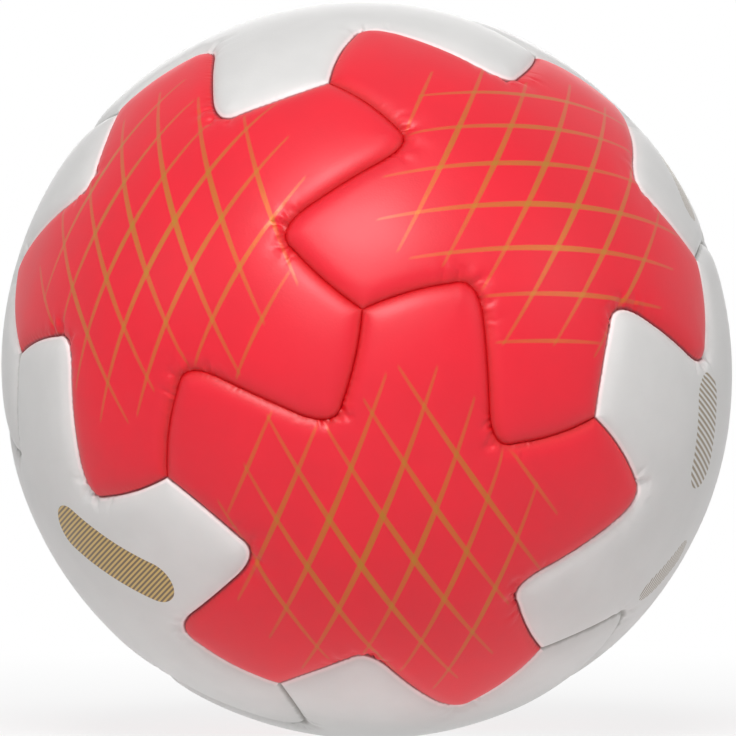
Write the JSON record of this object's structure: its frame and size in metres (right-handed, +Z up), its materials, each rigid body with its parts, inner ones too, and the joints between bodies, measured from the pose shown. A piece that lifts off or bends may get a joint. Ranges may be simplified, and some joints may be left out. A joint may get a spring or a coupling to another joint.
{
  "type": "handball",
  "caption": "Stitched match ball with interlocking five-armed panels, foam and lining under each cover, and an inflated bladder with a needle valve.",
  "frame": {"origin": "centre of the ball", "axes": "+Z up, the front vertex of the panels faces -Y, +X to the right of a viewer on -Y"},
  "size_m": [0.188, 0.188, 0.188],
  "materials": {
    "cover_red": "soft grained synthetic leather with a satin sheen",
    "cover_white": "soft grained synthetic leather with a satin sheen",
    "foam": "fine closed-cell foam",
    "lining": "woven polyester and cotton",
    "thread_red": "waxed polyester thread",
    "thread_cream": "waxed polyester thread",
    "bladder": "dipped latex, slightly powdery",
    "valve_rubber": "moulded rubber",
    "valve_plug": "soft silicone rubber",
    "valve_patch": "bonded rubber sheet"
  },
  "bodies": {
    "root": {"cover_front_right": "cover_red", "cover_front_left": "cover_red", "cover_front_low": "cover_red", "cover_top": "cover_white", "cover_low_left": "cover_white", "cover_low_right": "cover_white", "cover_high_right": "cover_white", "cover_high_left": "cover_white", "cover_bottom": "cover_white", "cover_back_high": "cover_red", "cover_back_left": "cover_red", "cover_back_right": "cover_red", "foam_front_right": "foam", "foam_front_left": "foam", "foam_front_low": "foam", "foam_top": "foam", "foam_low_left": "foam", "foam_low_right": "foam", "foam_high_right": "foam", "foam_high_left": "foam", "foam_bottom": "foam", "foam_back_high": "foam", "foam_back_left": "foam", "foam_back_right": "foam", "lining_front_right": "lining", "lining_front_left": "lining", "lining_front_low": "lining", "lining_top": "lining", "lining_low_left": "lining", "lining_low_right": "lining", "lining_high_right": "lining", "lining_high_left": "lining", "lining_bottom": "lining", "lining_back_high": "lining", "lining_back_left": "lining", "lining_back_right": "lining", "thread_front": "thread_red", "thread_front_border": "thread_cream", "thread_belt": "thread_cream", "thread_back_border": "thread_cream", "thread_back": "thread_red", "bladder": "bladder", "valve_body": "valve_rubber", "valve_plug": "valve_plug", "valve_patch": "valve_patch"}
  },
  "joints": []
}
